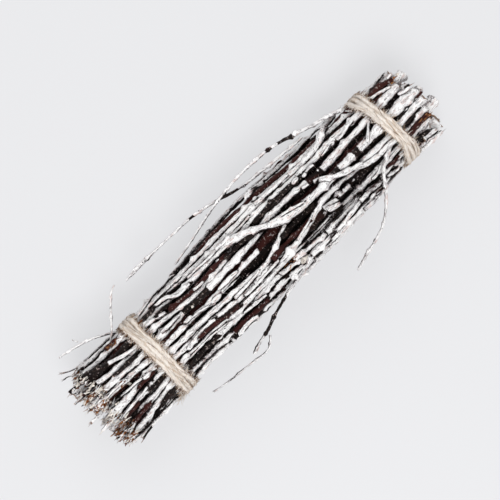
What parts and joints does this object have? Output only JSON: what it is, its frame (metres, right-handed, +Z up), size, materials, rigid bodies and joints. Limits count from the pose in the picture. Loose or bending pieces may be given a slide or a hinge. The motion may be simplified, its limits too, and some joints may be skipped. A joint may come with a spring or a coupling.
{
  "type": "bundle of birch twigs",
  "caption": "Bundle of whitewashed birch twigs lying on its side, bound near both ends with bands of jute twine, with thin side shoots standing clear.",
  "frame": {"origin": "centre of the bounding box's underside, where the bundle rests on its two bands of twine", "axes": "+X along the twigs from the thick cut ends to the other end, +Y across the bundle, +Z up"},
  "size_m": [0.2872, 0.1014, 0.0616],
  "materials": {
    "whitewashed_twig": "chalky white paint worn through to dark bark, matt",
    "dark_twig": "bare birch bark, dark red-brown with pale flecks",
    "bare_shoot": "thin bark dusted with white paint, matt",
    "jute_twine": "undyed jute twine, rough and fibrous"
  },
  "bodies": {
    "root": {"top_twig_01": "whitewashed_twig", "top_twig_02": "whitewashed_twig", "top_twig_03": "whitewashed_twig", "top_twig_04": "whitewashed_twig", "top_twig_05": "whitewashed_twig", "top_twig_06": "whitewashed_twig", "top_twig_07": "whitewashed_twig", "top_twig_08": "whitewashed_twig", "top_twig_09": "whitewashed_twig", "top_twig_10": "whitewashed_twig", "top_twig_11": "whitewashed_twig", "top_twig_12": "whitewashed_twig", "top_twig_13": "whitewashed_twig", "top_twig_14": "whitewashed_twig", "top_twig_15": "whitewashed_twig", "top_twig_16": "whitewashed_twig", "stray_1": "bare_shoot", "stray_2": "bare_shoot", "stray_3": "bare_shoot", "stray_4": "bare_shoot", "stray_4_fork": "bare_shoot", "stray_5": "bare_shoot", "stray_5_fork": "bare_shoot", "stray_6": "bare_shoot", "under_twig_01": "dark_twig", "under_twig_02": "dark_twig", "under_twig_03": "dark_twig", "under_twig_04": "dark_twig", "under_twig_05": "dark_twig", "under_twig_06": "dark_twig", "under_twig_07": "dark_twig", "under_twig_08": "dark_twig", "under_twig_09": "dark_twig", "under_twig_10": "dark_twig", "under_twig_11": "dark_twig", "side_twig_01": "dark_twig", "side_twig_02": "dark_twig", "edge_twig_01": "dark_twig", "edge_twig_02": "dark_twig", "bottom_twig_01": "dark_twig", "bottom_twig_02": "dark_twig", "bottom_twig_03": "dark_twig", "bottom_twig_04": "dark_twig", "bottom_twig_05": "dark_twig", "low_twig_01": "dark_twig", "low_twig_02": "dark_twig", "low_twig_03": "dark_twig", "low_twig_04": "dark_twig", "low_twig_05": "dark_twig", "low_twig_06": "dark_twig", "core_twig_01": "dark_twig", "core_twig_02": "dark_twig", "core_twig_03": "dark_twig", "core_twig_04": "dark_twig", "core_twig_05": "dark_twig", "core_twig_06": "dark_twig", "middle_twig_01": "dark_twig", "low_tie": "jute_twine", "high_tie": "jute_twine"}
  },
  "joints": []
}
